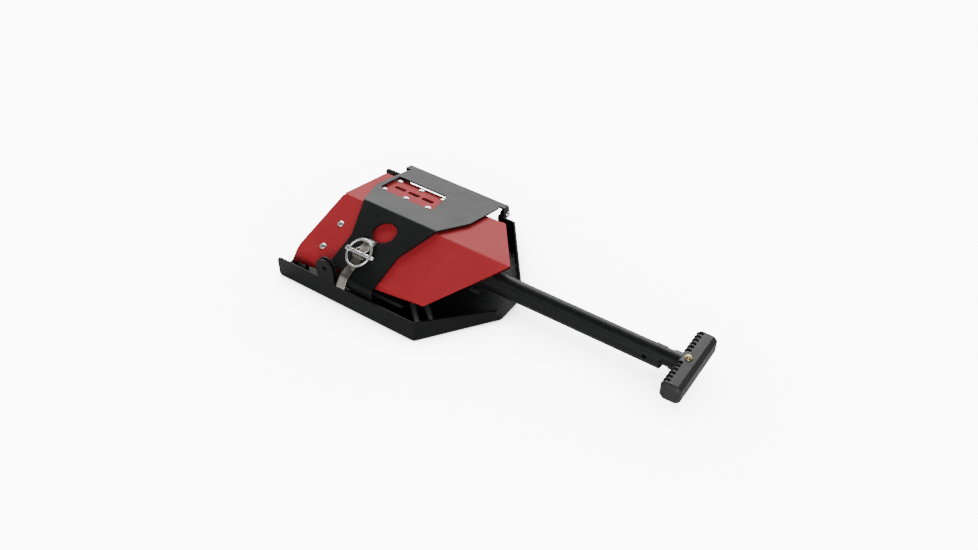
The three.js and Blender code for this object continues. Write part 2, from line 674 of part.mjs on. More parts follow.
// Hinge bolts pass a tray tab and a cover tab, with the head outside and the nut inside
const hingeEnds = [['right', COVER_RIGHT_X, 1], ['left', COVER_LEFT_X, -1]];
for (const [side, faceX, way] of hingeEnds) {
  const axis = X_AXIS.clone().multiplyScalar(way);
  const place = point(faceX, HINGE_Y, HINGE_Z);
  const length = 2 * SHEET + 2 * GAP + 5;
  const bolt = [
    [0, -length], [BOLT_RADIUS, -length], [BOLT_RADIUS, GAP], [5.4, GAP], [5.4, 2.6], [4.4, 3.6], [0, 4],
  ];
  add(`hinge_bolt_${side}`, turned(bolt, 12, axis, place), ZINC);
  const nutFace = -2 * SHEET - 2 * GAP;
  const nut = cut(
    rod(5.8, place.clone().addScaledVector(axis, nutFace - 4), axis, 4, 6),
    rod(BOLT_RADIUS + GAP, place.clone().addScaledVector(axis, nutFace - 5), axis, 6, 16),
  );
  add(`hinge_nut_${side}`, nut, ZINC);
}

// ---------------------------------------------------------------- draw latch

// The latch group's own axes: X across, -Y down the cover's slope, Z out of its face
latch.position.copy(latchOrigin);
latch.rotation.x = TILT;
model.add(latch);

function across(u, n, radius, x0, x1, segments = 14) {
  return rod(radius, point(x0, -u, n), X_AXIS, x1 - x0, segments);
}

function makeLatchBase() {
  const top = LATCH_HALF - 1.6;
  const plan = outline([
    [-top, 1], [-top, -1], [-LATCH_HALF, -2.5], [-LATCH_HALF, -36],
    [LATCH_HALF, -36], [LATCH_HALF, -2.5], [top, -1], [top, 1],
  ]);
  const plate = extrudeZ(plan, GAP, 1.6);
  const cheek = outline([[-2.5, GAP], [-12, GAP], [-10, 7], [-8, 8.6], [-4.5, 8.6], [-3, 7]]);
  const cheeks = join(
    extrudeX(cheek, -LATCH_HALF, -LATCH_HALF + 1.5), extrudeX(cheek, LATCH_HALF - 1.5, LATCH_HALF),
  );
  const axleHole = across(LEVER_AXLE.u, LEVER_AXLE.n, AXLE_RADIUS + GAP, -12, 12);
  const rivetHole = (x) => rod(1.9, point(x, -16, -1), Z_AXIS, 4, 10);
  return cut(join(plate, cheeks), axleHole, rivetHole(-4.6), rivetHole(4.6));
}

add('latch_base', makeLatchBase(), STEEL, latch);
[-4.6, 4.6].forEach((x, i) => {
  const tail = -SHEET - GAP;
  const profile = [
    [0, tail - 1.1], [2.8, tail - 1.1], [2.8, tail], [1.6, tail],
    [1.6, 1.9], [3.2, 1.9], [2.6, 2.9], [0, 3.2],
  ];
  add(`latch_rivet_${i + 1}`, turned(profile, 12, Z_AXIS, point(x, -16, 0)), ZINC, latch);
});
const axleHalf = LATCH_HALF + 0.6;
add('lever_axle', across(LEVER_AXLE.u, LEVER_AXLE.n, AXLE_RADIUS, -axleHalf, axleHalf), ZINC, latch);

function makeLever() {
  const innerHalf = LATCH_HALF - 1.5 - GAP;
  const plan = outline([
    [-innerHalf, -5], [-innerHalf, -13.5], [-LATCH_HALF, -15.5], [-LATCH_HALF, -31],
    [LATCH_HALF, -31], [LATCH_HALF, -15.5], [innerHalf, -13.5], [innerHalf, -5],
  ]);
  const plate = extrudeZ(plan, 4.2, 6.2);
  const barrel = across(LEVER_AXLE.u, LEVER_AXLE.n, 3, -innerHalf, innerHalf);
  const ear = new THREE.Shape();
  ear.moveTo(-20, 4.2);
  ear.lineTo(-20, 6.2);
  ear.lineTo(-PIN_PLACE.u + 4.2, PIN_PLACE.n + 1);
  ear.absarc(-PIN_PLACE.u, PIN_PLACE.n, 4.3, 0.2, Math.PI - 0.2);
  ear.absarc(-CLAW_AXLE.u, CLAW_AXLE.n, 3.4, Math.PI * 0.75, Math.PI * 1.5);
  const ears = join(
    extrudeX(ear, -LATCH_HALF, -LATCH_HALF + 1.4), extrudeX(ear, LATCH_HALF - 1.4, LATCH_HALF),
  );
  return cut(
    join(plate, barrel, ears),
    across(LEVER_AXLE.u, LEVER_AXLE.n, AXLE_RADIUS + GAP, -12, 12),
    across(CLAW_AXLE.u, CLAW_AXLE.n, AXLE_RADIUS + GAP, -12, 12),
    across(PIN_PLACE.u, PIN_PLACE.n, PIN_RADIUS + GAP, -12, 12, 16),
  );
}

add('latch_lever', makeLever(), STEEL, latch);
add('claw_axle', across(CLAW_AXLE.u, CLAW_AXLE.n, AXLE_RADIUS, -axleHalf, axleHalf), ZINC, latch);

// The claw: a rolled eye on its axle and a strap that runs down the face and over the tray's flange
function makeClaw() {
  const half = LATCH_HALF - 1.6;
  const toLocal = (y, z) => {
    const p = point(0, y, z).sub(point(0, latchOrigin.y, latchOrigin.z));
    return [-p.dot(slopeDown), p.dot(slopeOut)];
  };
  const low = 1.2;
  const bendCentre = point(0, COVER_FRONT_Y + COVER_BEND, coverTop(COVER_FRONT_Y) - 6);
  const r = COVER_BEND + low;
  const path = [[-CLAW_AXLE.u, CLAW_AXLE.n - 3.3], [-50, low + 0.3]];
  for (const degrees of [106, 114, 122, 130, 138]) {
    const a = THREE.MathUtils.degToRad(degrees);
    path.push(toLocal(bendCentre.y + r * Math.cos(a), bendCentre.z + r * Math.sin(a)));
  }
  const last = new THREE.Vector2(-137.3, 39.8);
  const end = THREE.MathUtils.degToRad(138);
  const first = new THREE.Vector2(bendCentre.y + r * Math.cos(end), bendCentre.z + r * Math.sin(end));
  const sweep = new THREE.QuadraticBezierCurve(first, new THREE.Vector2(last.x, 43.1), last);
  sweep.getPoints(5).slice(1).forEach((spot) => path.push(toLocal(spot.x, spot.y)));
  const strap = extrudeX(sheetSection(path, -2), -half, half);
  const eye = across(CLAW_AXLE.u, CLAW_AXLE.n, 3.3, -half, half);
  return cut(join(strap, eye), across(CLAW_AXLE.u, CLAW_AXLE.n, AXLE_RADIUS + GAP, -12, 12));
}

add('latch_claw', makeClaw(), STEEL, latch);

// Lynch pin with a flat round head, and the snap ring that hangs in the head's cross hole
function makeLockPin() {
  const place = point(PIN_HEAD_X + 3.6, -PIN_PLACE.u, PIN_PLACE.n);
  const tip = PIN_TIP_X - place.x;
  const profile = [[0, 0], [PIN_RADIUS, 0], [PIN_RADIUS, tip - 3], [PIN_RADIUS * 0.5, tip], [0, tip]];
  const shank = turned(profile, 16, X_AXIS, place);
  const middle = point(PIN_HEAD_X, -PIN_PLACE.u, PIN_PLACE.n);
  const lean = point(0, Math.cos(RING_LEAN), Math.sin(RING_LEAN));
  const head = rod(PIN_HEAD_RADIUS, middle.clone().addScaledVector(lean, -3.5), lean, 7, 16);
  const hole = rod(RING_WIRE + 0.75, middle.clone().addScaledVector(lean, -6), lean, 12, 16);
  return cut(join(shank, head), hole);
}

add('lock_pin', makeLockPin(), ZINC, latch);

function makeLockRing() {
  const geometry = new THREE.TorusGeometry(RING_RADIUS, RING_WIRE, 8, 36);
  geometry.translate(RING_RADIUS, 0, 0);
  geometry.rotateY(-RING_TILT);
  geometry.rotateX(RING_LEAN);
  geometry.translate(PIN_HEAD_X, -PIN_PLACE.u, PIN_PLACE.n);
  return solid(geometry);
}

add('lock_ring', makeLockRing(), ZINC, latch);

export default model;
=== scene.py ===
"""A telescoping shovel locked flat in a hinged steel vehicle mount.

+Z up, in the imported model's own frame: X runs along the shaft towards the T-handle, Y runs
across the tray towards the cover's hinge. Lengths are metres, and times MM where written in
millimetres. Only turned profiles, plugs and the constants said to be so are in millimetres.
"""

import json
import math

import bmesh
import bpy
import numpy as np
from mathutils import Matrix, Vector


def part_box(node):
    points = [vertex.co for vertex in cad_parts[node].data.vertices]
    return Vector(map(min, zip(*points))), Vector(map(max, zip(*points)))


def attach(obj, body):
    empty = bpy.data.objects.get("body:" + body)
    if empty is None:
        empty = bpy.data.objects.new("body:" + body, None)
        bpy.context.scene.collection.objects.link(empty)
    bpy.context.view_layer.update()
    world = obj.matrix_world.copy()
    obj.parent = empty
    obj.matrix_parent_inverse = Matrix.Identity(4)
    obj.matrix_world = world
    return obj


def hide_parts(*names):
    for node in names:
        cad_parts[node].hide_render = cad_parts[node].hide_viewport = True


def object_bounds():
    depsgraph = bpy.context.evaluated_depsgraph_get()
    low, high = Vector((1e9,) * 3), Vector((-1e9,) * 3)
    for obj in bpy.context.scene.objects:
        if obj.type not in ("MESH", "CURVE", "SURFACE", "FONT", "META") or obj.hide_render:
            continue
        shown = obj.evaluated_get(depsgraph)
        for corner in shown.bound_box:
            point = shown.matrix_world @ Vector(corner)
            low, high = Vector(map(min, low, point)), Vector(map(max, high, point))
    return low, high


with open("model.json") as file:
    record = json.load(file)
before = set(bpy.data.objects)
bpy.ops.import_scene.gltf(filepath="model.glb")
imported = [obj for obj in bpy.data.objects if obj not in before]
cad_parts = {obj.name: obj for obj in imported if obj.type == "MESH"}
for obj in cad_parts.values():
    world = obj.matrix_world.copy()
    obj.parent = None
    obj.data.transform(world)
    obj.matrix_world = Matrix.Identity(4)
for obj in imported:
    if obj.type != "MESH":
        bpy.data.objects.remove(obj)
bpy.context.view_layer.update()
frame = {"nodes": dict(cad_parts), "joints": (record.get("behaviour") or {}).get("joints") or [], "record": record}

MM = 0.001
NODES = frame["nodes"]
BODY_OF = {node: body for body, nodes in frame["record"]["behaviour"]["bodies"].items() for node in nodes}
SLOT_OF = {part["node"]: part["material_slot"] for part in frame["record"]["subparts"]}
JOINT_AT = {joint["name"]: joint.get("pos_m") for joint in frame["joints"]}
JOINT_AXIS = {joint["name"]: joint["axis"] for joint in frame["joints"]}

X_AXIS = Vector((1, 0, 0))
Y_AXIS = Vector((0, 1, 0))
Z_AXIS = Vector((0, 0, 1))


# ---------------------------------------------------------------- camera, floor and light

CAMERA_PLACE = Vector((0.76100, -0.94435, 1.10107))
CAMERA_AZIMUTH = math.radians(33.768)
CAMERA_ELEVATION = math.radians(42.824)
CAMERA_LENS = 38.343
CAMERA_SENSOR = 36
SKY = ((0.0, 0.5), (0.35, 0.5), (0.75, 0.12), (1.0, 0.05))  # brightness by height of the direction
SKY_STRENGTH = 1.0
FLOOR_REACH = 6.0
FLOOR_DROP = 0.2 * MM
FLOOR_GREY = 0.8
FLOOR_ROUGHNESS = 0.9
FLOOR_GLOW = 11.0
# Painted shadow on the floor as seen: how much of its glow stays, by how open the floor is within SHADOW_REACH
FLOOR_PAINTED_SHADOW = ((0.0, 0.0), (0.3, 0.004), (0.42, 0.07), (0.56, 0.5), (0.8, 0.8), (1.0, 1.0))  # by openness
SHADOW_REACH = 0.22
SHADOW_SAMPLES = 16


def make_camera():
    camera = bpy.data.cameras.new("camera")
    camera.lens = CAMERA_LENS
    camera.sensor_width = CAMERA_SENSOR
    piece = bpy.data.objects.new("camera", camera)
    piece.location = CAMERA_PLACE
    piece.rotation_euler = (math.pi / 2 - CAMERA_ELEVATION, 0, CAMERA_AZIMUTH)
    bpy.context.scene.collection.objects.link(piece)
    bpy.context.scene.camera = piece


def area_light(name, place, target, size, power):
    light = bpy.data.lights.new(name, "AREA")
    light.shape = "RECTANGLE"
    light.size, light.size_y = size
    light.energy = power
    piece = bpy.data.objects.new(name, light)
    piece.location = place
    piece.rotation_euler = (Vector(target) - Vector(place)).to_track_quat("-Z", "Y").to_euler()
    bpy.context.scene.collection.objects.link(piece)


def grey_stops(ramp, stops):
    while len(ramp.color_ramp.elements) < len(stops):
        ramp.color_ramp.elements.new(1.0)
    for element, (at, grey) in zip(ramp.color_ramp.elements, stops):
        element.position = at
        element.color = (grey, grey, grey, 1)


def make_world():
    """Even studio light that is brighter near the horizon than overhead."""
    world = bpy.data.worlds.new("studio")
    world.use_nodes = True
    bpy.context.scene.world = world
    tree = world.node_tree
    background = tree.nodes["Background"]
    place = tree.nodes.new("ShaderNodeTexCoord")
    split = tree.nodes.new("ShaderNodeSeparateXYZ")
    ramp = tree.nodes.new("ShaderNodeValToRGB")
    tree.links.new(place.outputs["Generated"], split.inputs[0])
    tree.links.new(split.outputs["Z"], ramp.inputs[0])
    tree.links.new(ramp.outputs[0], background.inputs["Color"])
    grey_stops(ramp, SKY)
    background.inputs["Strength"].default_value = SKY_STRENGTH


def make_stage():
    """A white floor, pale for the light it throws back, and glowing white when seen, with a painted soft shadow
    where the object closes it in.
    """
    floor_mesh = bpy.data.meshes.new("floor")
    corners = [(x * FLOOR_REACH, y * FLOOR_REACH, 0) for x, y in ((-1, -1), (1, -1), (1, 1), (-1, 1))]
    floor_mesh.from_pydata(corners, [], [(0, 1, 2, 3)])
    floor = bpy.data.objects.new("floor", floor_mesh)
    floor.location.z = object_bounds()[0][2] - FLOOR_DROP
    bpy.context.scene.collection.objects.link(floor)
    pale = bpy.data.materials.new("pale_floor")
    pale.use_nodes = True
    tree = pale.node_tree
    shader = tree.nodes["Principled BSDF"]
    shader.inputs["Base Color"].default_value = (FLOOR_GREY, FLOOR_GREY, FLOOR_GREY, 1)
    shader.inputs["Roughness"].default_value = FLOOR_ROUGHNESS
    # Painted shadow: the glow seen on the floor is dimmed by ambient occlusion, not by the lamps
    openness = tree.nodes.new("ShaderNodeAmbientOcclusion")
    openness.inputs["Distance"].default_value = SHADOW_REACH
    openness.samples = SHADOW_SAMPLES
    painted_shade_ramp = tree.nodes.new("ShaderNodeValToRGB")
    grey_stops(painted_shade_ramp, FLOOR_PAINTED_SHADOW)
    glow = tree.nodes.new("ShaderNodeMath")
    glow.operation = "MULTIPLY"
    glow.inputs[1].default_value = FLOOR_GLOW
    seen = tree.nodes.new("ShaderNodeEmission")
    path = tree.nodes.new("ShaderNodeLightPath")
    mix = tree.nodes.new("ShaderNodeMixShader")
    tree.links.new(openness.outputs["AO"], painted_shade_ramp.inputs[0])
    tree.links.new(painted_shade_ramp.outputs[0], glow.inputs[0])
    tree.links.new(glow.outputs[0], seen.inputs["Strength"])
    tree.links.new(path.outputs["Is Camera Ray"], mix.inputs[0])
    tree.links.new(shader.outputs[0], mix.inputs[1])
    tree.links.new(seen.outputs[0], mix.inputs[2])
    tree.links.new(mix.outputs[0], tree.nodes["Material Output"].inputs["Surface"])
    floor_mesh.materials.append(pale)


make_camera()
make_world()
make_stage()
area_light("back_softbox", place=(-1.0, 2.4, 1.4), target=(0, 0, 0.05), size=(3.6, 1.7), power=155)
area_light("front_fill", place=(1.2, -2.5, 1.2), target=(0.1, 0, 0.05), size=(2.4, 1.4), power=75)


# ---------------------------------------------------------------- materials

NOISE_SPAN = (0.3, 0.7)  # where nearly all values of a noise texture lie


def shader_tree(name):
    material = bpy.data.materials.new(name)
    material.use_nodes = True
    tree = material.node_tree
    return material, tree, tree.nodes["Principled BSDF"]


def textured_place(tree, stretch=(1, 1, 1)):
    """Each piece's own coordinates, in metres, stretched to draw grain along an axis."""
    place = tree.nodes.new("ShaderNodeTexCoord")
    mapping = tree.nodes.new("ShaderNodeMapping")
    mapping.inputs["Scale"].default_value = stretch
    tree.links.new(place.outputs["Object"], mapping.inputs["Vector"])
    return mapping.outputs["Vector"]


def noise(tree, place, size, detail=3.0, roughness=0.5):
    """Noise whose features are about this many metres across."""
    texture = tree.nodes.new("ShaderNodeTexNoise")
    texture.inputs["Scale"].default_value = 1 / size
    texture.inputs["Detail"].default_value = detail
    texture.inputs["Roughness"].default_value = roughness
    tree.links.new(place, texture.inputs["Vector"])
    return texture.outputs["Fac"]


def ranged(tree, value, low, high):
    """A noise value spread from low to high."""
    spread = tree.nodes.new("ShaderNodeMapRange")
    spread.inputs["From Min"].default_value = NOISE_SPAN[0]
    spread.inputs["From Max"].default_value = NOISE_SPAN[1]
    spread.inputs["To Min"].default_value = low
    spread.inputs["To Max"].default_value = high
    tree.links.new(value, spread.inputs["Value"])
    return spread.outputs["Result"]


def coloured(tree, value, dark, light):
    """A noise value turned into a colour between dark and light."""
    ramp = tree.nodes.new("ShaderNodeValToRGB")
    for element, at, colour in zip(ramp.color_ramp.elements, NOISE_SPAN, (dark, light)):
        element.position = at
        element.color = (*colour, 1)
    tree.links.new(value, ramp.inputs["Fac"])
    return ramp.outputs["Color"]


def bumped(tree, shader, *layers):
    """Bump layers, each a (height, depth in metres) pair, added one over another."""
    normal = None
    for height, depth in layers:
        bump = tree.nodes.new("ShaderNodeBump")
        bump.inputs["Strength"].default_value = 1.0
        bump.inputs["Distance"].default_value = depth
        tree.links.new(height, bump.inputs["Height"])
        if normal:
            tree.links.new(normal, bump.inputs["Normal"])
        normal = bump.outputs["Normal"]
    tree.links.new(normal, shader.inputs["Normal"])


def coating(name, dark, light, gloss, grain, depth, specular):
    """Paint or powder coat: a fine orange-peel skin, faint mottling and uneven gloss."""
    material, tree, shader = shader_tree(name)
    place = textured_place(tree)
    mottle = noise(tree, place, 45 * MM, detail=5, roughness=0.6)
    peel = noise(tree, place, grain, detail=2)
    specks = noise(tree, place, grain / 4, detail=1)
    tree.links.new(coloured(tree, mottle, dark, light), shader.inputs["Base Color"])
    tree.links.new(ranged(tree, mottle, *gloss), shader.inputs["Roughness"])
    bumped(tree, shader, (peel, depth), (specks, depth / 4))
    shader.inputs["Specular IOR Level"].default_value = specular
    return material


def brushed(name, dark, light, gloss, stretch, depth, anisotropy=0.0, metallic=1.0, specular=0.5):
    """Bare or plated metal, or thinly coated tube: a fine lengthwise grain and a cloudy tone."""
    material, tree, shader = shader_tree(name)
    lines = noise(tree, textured_place(tree, stretch), 2 * MM, detail=4, roughness=0.65)
    cloud = noise(tree, textured_place(tree), 9 * MM, detail=4)
    tree.links.new(coloured(tree, cloud, dark, light), shader.inputs["Base Color"])
    tree.links.new(ranged(tree, lines, *gloss), shader.inputs["Roughness"])
    bumped(tree, shader, (lines, depth))
    shader.inputs["Metallic"].default_value = metallic
    shader.inputs["Anisotropic"].default_value = anisotropy
    shader.inputs["Specular IOR Level"].default_value = specular
    return material


def moulded(name, dark, light, gloss, grain, depth, specular):
    """Moulded plastic or rubber: a spark-eroded grain over a faint flow pattern."""
    material, tree, shader = shader_tree(name)
    place = textured_place(tree)
    flow = noise(tree, place, 16 * MM, detail=4)
    pits = noise(tree, place, grain, detail=2, roughness=0.7)
    tree.links.new(coloured(tree, flow, dark, light), shader.inputs["Base Color"])
    tree.links.new(ranged(tree, pits, *gloss), shader.inputs["Roughness"])
    bumped(tree, shader, (pits, depth))
    shader.inputs["Specular IOR Level"].default_value = specular
    return material


FINISHES = {
    "black_powder_coat": coating(
        "black_powder_coat", dark=(0.0060, 0.0061, 0.0064), light=(0.0085, 0.0086, 0.0090),
        gloss=(0.38, 0.46), grain=1.1 * MM, depth=0.035 * MM, specular=0.17),
    "red_coat": coating(
        "red_coat", dark=(0.39, 0.025, 0.031), light=(0.43, 0.028, 0.036),
        gloss=(0.46, 0.54), grain=1.3 * MM, depth=0.03 * MM, specular=0.08),
    "black_tube": brushed(
        "black_tube", dark=(0.006, 0.006, 0.007), light=(0.010, 0.010, 0.011),
        gloss=(0.40, 0.50), stretch=(0.04, 1.6, 1.6), depth=0.004 * MM, metallic=0.0, specular=0.2),
    "black_plastic": moulded(
        "black_plastic", dark=(0.012, 0.012, 0.013), light=(0.017, 0.017, 0.019),
        gloss=(0.42, 0.54), grain=0.5 * MM, depth=0.03 * MM, specular=0.42),
    "black_rubber": moulded(
        "black_rubber", dark=(0.010, 0.010, 0.010), light=(0.016, 0.016, 0.016),
        gloss=(0.74, 0.86), grain=0.8 * MM, depth=0.06 * MM, specular=0.3),
    "stainless": brushed(
        "stainless", dark=(0.36, 0.33, 0.28), light=(0.50, 0.47, 0.42),
        gloss=(0.28, 0.44), stretch=(2.4, 0.10, 0.10), depth=0.002 * MM, anisotropy=0.35),
    "zinc": brushed(
        "zinc", dark=(0.70, 0.71, 0.71), light=(0.82, 0.83, 0.83),
        gloss=(0.20, 0.28), stretch=(1, 1, 1), depth=0.0006 * MM, metallic=0.8),
    "brass": brushed(
        "brass", dark=(0.50, 0.36, 0.16), light=(0.66, 0.51, 0.28),
        gloss=(0.20, 0.32), stretch=(1, 1, 1), depth=0.0008 * MM),
    "bare_aluminium": brushed(
        "bare_aluminium", dark=(0.44, 0.45, 0.46), light=(0.56, 0.57, 0.58),
        gloss=(0.34, 0.52), stretch=(0.08, 1.4, 1.4), depth=0.008 * MM),
}


# ---------------------------------------------------------------- mesh tools

WELD = 0.004 * MM
FLAT = math.radians(0.6)
SHARP = 33  # degrees
NORMAL_WEIGHT = 90
TAB_SINK = 2 * MM
EASE_LIMIT = 0.45  # of a side's length, so that the roundings at its two ends stay apart
HEXAGON = 6


def dress(mesh, node, *others):
    """Makes a mesh the visible piece for a CAD node, and for others that are one sheet with it."""
    piece = bpy.data.objects.new(f"{node}_shell", mesh)
    bpy.context.scene.collection.objects.link(piece)
    mesh.materials.clear()
    mesh.materials.append(FINISHES[SLOT_OF[node]])
    mesh.shade_smooth()
    weighted = piece.modifiers.new("weighted", "WEIGHTED_NORMAL")
    weighted.mode = "FACE_AREA"
    weighted.weight = NORMAL_WEIGHT
    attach(piece, BODY_OF[node])
    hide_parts(node, *others)
    return piece


def mesh_of(bm, name):
    bmesh.ops.recalc_face_normals(bm, faces=bm.faces)
    mesh = bpy.data.meshes.new(name)
    bm.to_mesh(mesh)
    bm.free()
    return mesh


def merged(mesh):
    """A copy to edit, with the mesh's vertices welded and its flat faces merged."""
    bm = bmesh.new()
    bm.from_mesh(mesh)
    bmesh.ops.remove_doubles(bm, verts=bm.verts, dist=WELD)
    bmesh.ops.dissolve_limit(bm, angle_limit=FLAT, verts=bm.verts, edges=bm.edges)
    return bm


def round_edges(bm, chosen, radius, segments):
    edges = [edge for edge in bm.edges if len(edge.link_faces) == 2 and chosen(edge)]
    if edges:
        bmesh.ops.bevel(
            bm, geom=edges, offset=radius, offset_type="OFFSET", segments=segments,
            profile=0.5, affect="EDGES", clamp_overlap=False, loop_slide=True)


def middle(edge):
    return (edge.verts[0].co + edge.verts[1].co) / 2


def along(edge, axis, least=0.99):
    """Whether an edge runs along an axis; least is the cosine of the angle allowed between them."""
    return abs((edge.verts[1].co - edge.verts[0].co).normalized().dot(axis)) > least


def turns(edge, degrees):
    return edge.calc_face_angle(0) > math.radians(degrees)


def near(value, target, slack=0.1 * MM):
    return abs(value - target) < slack


def refine(node, break_edge, segments=2, bends=(), tab=None):
    """A finer copy of a CAD node: each bend gets its radius, then every sharp edge is broken.

    A tab is the node of a padlock tab that is one sheet with this node.
    """
    bm = with_tab(node, tab) if tab else merged(NODES[node].data)
    for chosen, radius, steps in bends:
        round_edges(bm, chosen, radius, steps)
    round_edges(bm, lambda edge: turns(edge, SHARP), break_edge, segments)
    return dress(mesh_of(bm, node), node, *([tab] if tab else []))


def with_tab(node, tab):
    """A folded plate and its padlock tab as one sheet: the tab's foot is run down into the plate."""
    foot = merged(NODES[tab].data)
    low = min(vertex.co.z for vertex in foot.verts)
    for vertex in foot.verts:
        if near(vertex.co.z, low):
            vertex.co.z -= TAB_SINK
    plate = merged(NODES[node].data)
    return merged(combine(mesh_of(plate, "plate"), mesh_of(foot, "tab"), "UNION"))


def spin(profile, start, axis, segments=64):
    """A closed turned solid, from (radius, height) pairs that end on the axis or close a ring."""
    side = axis.orthogonal().normalized()
    other = axis.cross(side)
    closed = profile[0][0] > 0
    bm = bmesh.new()
    rings = []
    for radius, height in profile:
        centre = start + axis * height
        if radius == 0:
            rings.append([bm.verts.new(centre)])
            continue
        angles = [2 * math.pi * k / segments for k in range(segments)]
        spokes = [side * math.cos(angle) + other * math.sin(angle) for angle in angles]
        rings.append([bm.verts.new(centre + spoke * radius) for spoke in spokes])
    pairs = list(zip(rings, rings[1:]))
    if closed:
        pairs.append((rings[-1], rings[0]))
    for low, high in pairs:
        for k in range(segments):
            j = (k + 1) % segments
            corners = [low[k % len(low)], low[j % len(low)], high[j % len(high)], high[k % len(high)]]
            unique = list(dict.fromkeys(corners))
            if len(unique) > 2:
                bm.faces.new(unique)
    return bm


def eased(profile, radius, steps=3):
    """The same profile with its corners rounded, leaving points on the axis alone."""
    result = []
    count = len(profile)
    closed = profile[0][0] > 0
    for i, here in enumerate(profile):
        if not closed and i in (0, count - 1):
            result.append(here)
            continue
        corner = Vector(here)
        back = Vector(profile[i - 1]) - corner
        on = Vector(profile[(i + 1) % count]) - corner
        reach = min(radius, back.length * EASE_LIMIT, on.length * EASE_LIMIT)
        first = corner + back.normalized() * reach
        last = corner + on.normalized() * reach
        for k in range(steps + 1):
            t = k / steps
            spot = first.lerp(corner, t).lerp(corner.lerp(last, t), t)
            result.append((max(spot.x, 0.0), spot.y))
    return result


def scaled(profile):
    """A profile of millimetres in metres."""
    return [(radius * MM, height * MM) for radius, height in profile]


def axis_start(node, axis):
    """The point on a turned node's axis where the node begins."""
    points = np.unique(np.array([vertex.co for vertex in NODES[node].data.vertices]).round(7), axis=0)
    centre = Vector(points.mean(axis=0))
    lowest = float((points @ np.array(axis)).min())
    return centre + axis * (lowest - centre.dot(axis))


def length_along(node, axis):
    """A CAD node's length along an axis, in millimetres."""
    heights = [vertex.co.dot(axis) for vertex in NODES[node].data.vertices]
    return (max(heights) - min(heights)) / MM


def middle_x(node):
    return (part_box(node)[0].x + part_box(node)[1].x) / 2


def turn(node, axis, profile, segments=64, ease=0.3, cutters=()):
    """Replaces a turned CAD node by a finer one, whose profile starts at the node's first end."""
    axis = axis.normalized()
    bm = spin(eased(scaled(profile), ease * MM), axis_start(node, axis), axis, segments)
    mesh = mesh_of(bm, node)
    for cutter in cutters:
        mesh = combine(mesh, cutter, "DIFFERENCE")
    return dress(mesh, node)


def combine(mesh, other, operation):
    """Joins two closed meshes, or cuts the other one out of the first."""
    base = bpy.data.objects.new("base", mesh)
    tool = bpy.data.objects.new("tool", other)
    for piece in (base, tool):
        bpy.context.scene.collection.objects.link(piece)
    boolean = base.modifiers.new("boolean", "BOOLEAN")
    boolean.operation = operation
    boolean.solver = "EXACT"
    boolean.object = tool
    bpy.context.view_layer.update()
    evaluated = base.evaluated_get(bpy.context.evaluated_depsgraph_get())
    result = bpy.data.meshes.new_from_object(evaluated)
    bpy.data.objects.remove(base)
    bpy.data.objects.remove(tool)
    return result


def plug(start, axis, radius, length, segments=32):
    """A plain rod, in millimetres, used only as a cutter."""
    profile = scaled([(0, 0), (radius, 0), (radius, length), (0, length)])
    return mesh_of(spin(profile, start, axis, segments), "cutter")


# ---------------------------------------------------------------- tray and cover

SHEET = 3 * MM
SHEET_BREAK = 0.45 * MM
TRAY_HALF_WIDTH = 136.5 * MM
DIAGONALS_START_X = 90 * MM
SHAFT_GAP_HALF = 27 * MM


def make_tray():
    """The tray's flange folds are rounded outside and inside, and its edges are broken."""
    def outer_fold(edge):
        at_open_end = along(edge, Y_AXIS)
        return near(middle(edge).z, 0) and turns(edge, 80) and not at_open_end and on_rim(edge, 0)

    def inner_fold(edge):
        return near(middle(edge).z, SHEET) and turns(edge, 80) and on_rim(edge, SHEET)

    def on_rim(edge, inset):
        spot = middle(edge)
        on_side = near(abs(spot.y), TRAY_HALF_WIDTH - inset, 0.2 * MM)
        at_diagonals = spot.x > DIAGONALS_START_X and abs(spot.y) > SHAFT_GAP_HALF
        return on_side or (at_diagonals and not along(edge, X_AXIS, 0.9))

    folds = [(outer_fold, 3.2 * MM, 4), (inner_fold, 1.2 * MM, 2)]
    refine("tray", SHEET_BREAK, bends=folds, tab="tray_padlock_tab")


make_tray()
refine("cover", SHEET_BREAK, tab="cover_padlock_tab")
for rest in ("shaft_rest", "blade_rest_front", "blade_rest_rear", "cover_pad_front", "cover_pad_rear"):
    refine(rest, 0.8 * MM, 3)
refine("latch_keeper", 0.3 * MM)


# ---------------------------------------------------------------- blade

BLADE_SLOPE = 0.2876
FRONT_OUT = Vector((0, -BLADE_SLOPE, 1)).normalized()
REAR_OUT = Vector((0, BLADE_SLOPE, 1)).normalized()
RIVET_HEAD = 2.4  # millimetres, the head's height


def make_blade():
    """The blade's ridge and the creases above its two skirts are rounded."""
    ridge_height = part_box("blade")[1].z
    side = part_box("blade")[1].y

    def ridge(edge):
        return along(edge, X_AXIS) and near(middle(edge).y, 0)

    def crease(edge):
        spot = middle(edge)
        at_side = near(abs(spot.y), side, 0.2 * MM)
        return along(edge, X_AXIS) and at_side and near(spot.z, ridge_height - BLADE_SLOPE * side, MM)

    refine("blade", 0.4 * MM, bends=[(ridge, 2.2 * MM, 4), (crease, 3 * MM, 4)])


def make_rivet(node):
    """A domed rivet: set tail, shank, and a low round head with a thin flange."""
    out = REAR_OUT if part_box(node)[0].y > 0 else FRONT_OUT
    total = length_along(node, out)
    head = total - RIVET_HEAD
    turn(node, out, [
        (0, 0), (3.2, 0), (3.8, 1.5), (2.4, 1.6), (2.4, head), (5.2, head + 0.1), (5.2, head + 0.65),
        (4.6, head + 1.25), (3.6, head + 1.8), (2.2, head + 2.25), (0, total),
    ], segments=40, ease=0.25)


make_blade()
refine("blade_stiffener", 0.3 * MM)
for node in [name for name in NODES if name.startswith("blade_rivet_")]:
    make_rivet(node)


# ---------------------------------------------------------------- shaft

# Radii and the gap between the parts, in millimetres.
OUTER = 16.0
OUTER_BORE = 14.0
INNER = 12.7
INNER_BORE = 11.1
GAP = 0.3
BUTTON_HOLE = 3.3
SCREW_HOLE = 2.8
TUBE_REACH = 20  # millimetres from the shaft's axis, past the outer tube

